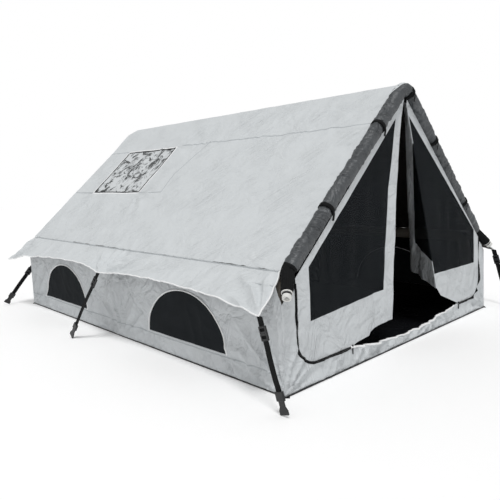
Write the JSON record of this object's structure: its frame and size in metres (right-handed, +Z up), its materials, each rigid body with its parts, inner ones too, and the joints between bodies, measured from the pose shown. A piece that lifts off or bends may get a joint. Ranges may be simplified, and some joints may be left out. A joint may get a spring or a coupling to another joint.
{
  "type": "inflatable tent",
  "caption": "Ridge-roofed inflatable house tent on welded air beams, with a zipped mesh door, half-dome side windows, a skylight and side-release guy straps.",
  "frame": {"origin": "on the ground, at the middle of the whole plan with the guy straps", "axes": "-Y towards the front door, +X to the right seen from the front, +Z up"},
  "size_m": [3.6682, 4.4015, 2.0588],
  "materials": {
    "fly": "pale grey coated polyester, satin",
    "wall": "light grey oxford polyester, matt",
    "floor": "black coated groundsheet",
    "mesh": "black insect mesh",
    "clear": "clear soft film, slightly wrinkled",
    "sleeve": "dark grey woven sleeve",
    "beam": "air-tight film tube, satin",
    "valve": "white moulded plastic",
    "webbing": "black woven webbing",
    "buckle": "black moulded acetal",
    "zip": "dark plated metal"
  },
  "bodies": {
    "tent": {"eave_flap_left": "fly", "eave_flap_right": "fly", "front_arch_beam": "beam", "front_arch_sleeve": "sleeve", "gable_front": "wall", "gable_rear": "wall", "groundsheet": "floor", "middle_arch_beam": "beam", "rear_arch_beam": "beam", "ridge_beam_front": "beam", "ridge_beam_rear": "beam", "roof_panel_left": "fly", "roof_panel_right": "fly", "side_beam_front_left": "beam", "side_beam_front_right": "beam", "side_beam_rear_left": "beam", "side_beam_rear_right": "beam", "skylight_pane": "clear", "valve_left": "valve", "valve_right": "valve", "wall_left": "wall", "wall_right": "wall", "window_mesh_left_front": "mesh", "window_mesh_left_rear": "mesh", "window_mesh_right_front": "mesh", "window_mesh_right_rear": "mesh"},
    "door_left": {"door_left_panel": "wall", "door_left_mesh": "mesh"},
    "door_right": {"door_right_panel": "wall", "door_right_mesh": "mesh"},
    "door_fold": {"door_fold_panel": "wall", "door_fold_mesh": "mesh"},
    "zip_left": {"zip_slider_left": "zip"},
    "zip_right": {"zip_slider_right": "zip"},
    "plunger_left": {"valve_plunger_left": "valve"},
    "plunger_right": {"valve_plunger_right": "valve"},
    "strap_left_front": {"guy_left_front_webbing": "webbing", "guy_left_front_socket": "buckle"},
    "adjuster_left_front": {"guy_left_front_adjuster": "buckle"},
    "plug_left_front": {"guy_left_front_plug": "buckle"},
    "strap_left_middle": {"guy_left_middle_webbing": "webbing", "guy_left_middle_socket": "buckle"},
    "adjuster_left_middle": {"guy_left_middle_adjuster": "buckle"},
    "plug_left_middle": {"guy_left_middle_plug": "buckle"},
    "strap_left_rear": {"guy_left_rear_webbing": "webbing", "guy_left_rear_socket": "buckle"},
    "adjuster_left_rear": {"guy_left_rear_adjuster": "buckle"},
    "plug_left_rear": {"guy_left_rear_plug": "buckle"},
    "strap_right_front": {"guy_right_front_webbing": "webbing", "guy_right_front_socket": "buckle"},
    "adjuster_right_front": {"guy_right_front_adjuster": "buckle"},
    "plug_right_front": {"guy_right_front_plug": "buckle"},
    "strap_right_middle": {"guy_right_middle_webbing": "webbing", "guy_right_middle_socket": "buckle"},
    "adjuster_right_middle": {"guy_right_middle_adjuster": "buckle"},
    "plug_right_middle": {"guy_right_middle_plug": "buckle"},
    "strap_right_rear": {"guy_right_rear_webbing": "webbing", "guy_right_rear_socket": "buckle"},
    "adjuster_right_rear": {"guy_right_rear_adjuster": "buckle"},
    "plug_right_rear": {"guy_right_rear_plug": "buckle"}
  },
  "joints": [
    {"name": "door_left_swing", "type": "hinge", "parent": "tent", "child": "door_left", "pos_m": [-0.034, -1.93872, 1.94314], "axis": [-0.7384, -0.0188, -0.6741], "range_deg": [-15, 75]},
    {"name": "door_right_swing", "type": "hinge", "parent": "tent", "child": "door_right", "pos_m": [0.034, -1.93872, 1.94314], "axis": [-0.7384, 0.0188, 0.6741], "range_deg": [-15, 75]},
    {"name": "door_fold_turn", "type": "hinge", "parent": "door_right", "child": "door_fold", "pos_m": [0.036, -1.93956, 1.91315], "axis": [-0.2858, 0.0268, 0.9579], "range_deg": [0, 127]},
    {"name": "zip_left_travel", "type": "slide", "parent": "tent", "child": "zip_left", "axis": [-1, 0, 0], "range_m": [0, 0.36]},
    {"name": "zip_right_travel", "type": "slide", "parent": "tent", "child": "zip_right", "axis": [1, 0, 0], "range_m": [0, 0.24]},
    {"name": "valve_left_press", "type": "slide", "parent": "tent", "child": "plunger_left", "axis": [0.5761, 0.4548, 0.6792], "range_m": [0, 0.006], "stiffness_N_per_m": 200, "springref_m": -0.005},
    {"name": "valve_right_press", "type": "slide", "parent": "tent", "child": "plunger_right", "axis": [-0.5761, 0.4548, 0.6792], "range_m": [0, 0.006], "stiffness_N_per_m": 200, "springref_m": -0.005},
    {"name": "strap_left_front_swing", "type": "hinge", "parent": "tent", "child": "strap_left_front", "pos_m": [-1.70542, -1.995, 0.56561], "axis": [0, 1, 0], "range_deg": [0, 40]},
    {"name": "adjuster_left_front_travel", "type": "slide", "parent": "strap_left_front", "child": "adjuster_left_front", "axis": [0.0193, -0.2986, -0.9542], "range_m": [-0.02, 0.2]},
    {"name": "plug_left_front_release", "type": "slide", "parent": "strap_left_front", "child": "plug_left_front", "axis": [0.0193, -0.2986, -0.9542], "range_m": [0, 0.03]},
    {"name": "strap_left_middle_swing", "type": "hinge", "parent": "tent", "child": "strap_left_middle", "pos_m": [-1.70503, -0.055, 0.61654], "axis": [0, 1, 0], "range_deg": [0, 40]},
    {"name": "adjuster_left_middle_travel", "type": "slide", "parent": "strap_left_middle", "child": "adjuster_left_middle", "axis": [-0.1716, 0.5039, -0.8465], "range_m": [-0.02, 0.3]},
    {"name": "plug_left_middle_release", "type": "slide", "parent": "strap_left_middle", "child": "plug_left_middle", "axis": [-0.1716, 0.5039, -0.8465], "range_m": [0, 0.03]},
    {"name": "strap_left_rear_swing", "type": "hinge", "parent": "tent", "child": "strap_left_rear", "pos_m": [-1.46, 2.00107, 0.465], "axis": [0.8444, 0, -0.5357], "range_deg": [0, 40]},
    {"name": "adjuster_left_rear_travel", "type": "slide", "parent": "strap_left_rear", "child": "adjuster_left_rear", "axis": [-0.5024, 0.3473, -0.7919], "range_m": [-0.02, 0.2]},
    {"name": "plug_left_rear_release", "type": "slide", "parent": "strap_left_rear", "child": "plug_left_rear", "axis": [-0.5024, 0.3473, -0.7919], "range_m": [0, 0.03]},
    {"name": "strap_right_front_swing", "type": "hinge", "parent": "tent", "child": "strap_right_front", "pos_m": [1.70542, -1.995, 0.56561], "axis": [0, -1, 0], "range_deg": [0, 40]},
    {"name": "adjuster_right_front_travel", "type": "slide", "parent": "strap_right_front", "child": "adjuster_right_front", "axis": [-0.0193, -0.2986, -0.9542], "range_m": [-0.02, 0.2]},
    {"name": "plug_right_front_release", "type": "slide", "parent": "strap_right_front", "child": "plug_right_front", "axis": [-0.0193, -0.2986, -0.9542], "range_m": [0, 0.03]},
    {"name": "strap_right_middle_swing", "type": "hinge", "parent": "tent", "child": "strap_right_middle", "pos_m": [1.70503, -0.055, 0.61654], "axis": [0, -1, 0], "range_deg": [0, 40]},
    {"name": "adjuster_right_middle_travel", "type": "slide", "parent": "strap_right_middle", "child": "adjuster_right_middle", "axis": [0.1716, 0.5039, -0.8465], "range_m": [-0.02, 0.3]},
    {"name": "plug_right_middle_release", "type": "slide", "parent": "strap_right_middle", "child": "plug_right_middle", "axis": [0.1716, 0.5039, -0.8465], "range_m": [0, 0.03]},
    {"name": "strap_right_rear_swing", "type": "hinge", "parent": "tent", "child": "strap_right_rear", "pos_m": [1.46, 2.00107, 0.465], "axis": [0.8444, 0, 0.5357], "range_deg": [0, 40]},
    {"name": "adjuster_right_rear_travel", "type": "slide", "parent": "strap_right_rear", "child": "adjuster_right_rear", "axis": [0.5024, 0.3473, -0.7919], "range_m": [-0.02, 0.2]},
    {"name": "plug_right_rear_release", "type": "slide", "parent": "strap_right_rear", "child": "plug_right_rear", "axis": [0.5024, 0.3473, -0.7919], "range_m": [0, 0.03]}
  ]
}
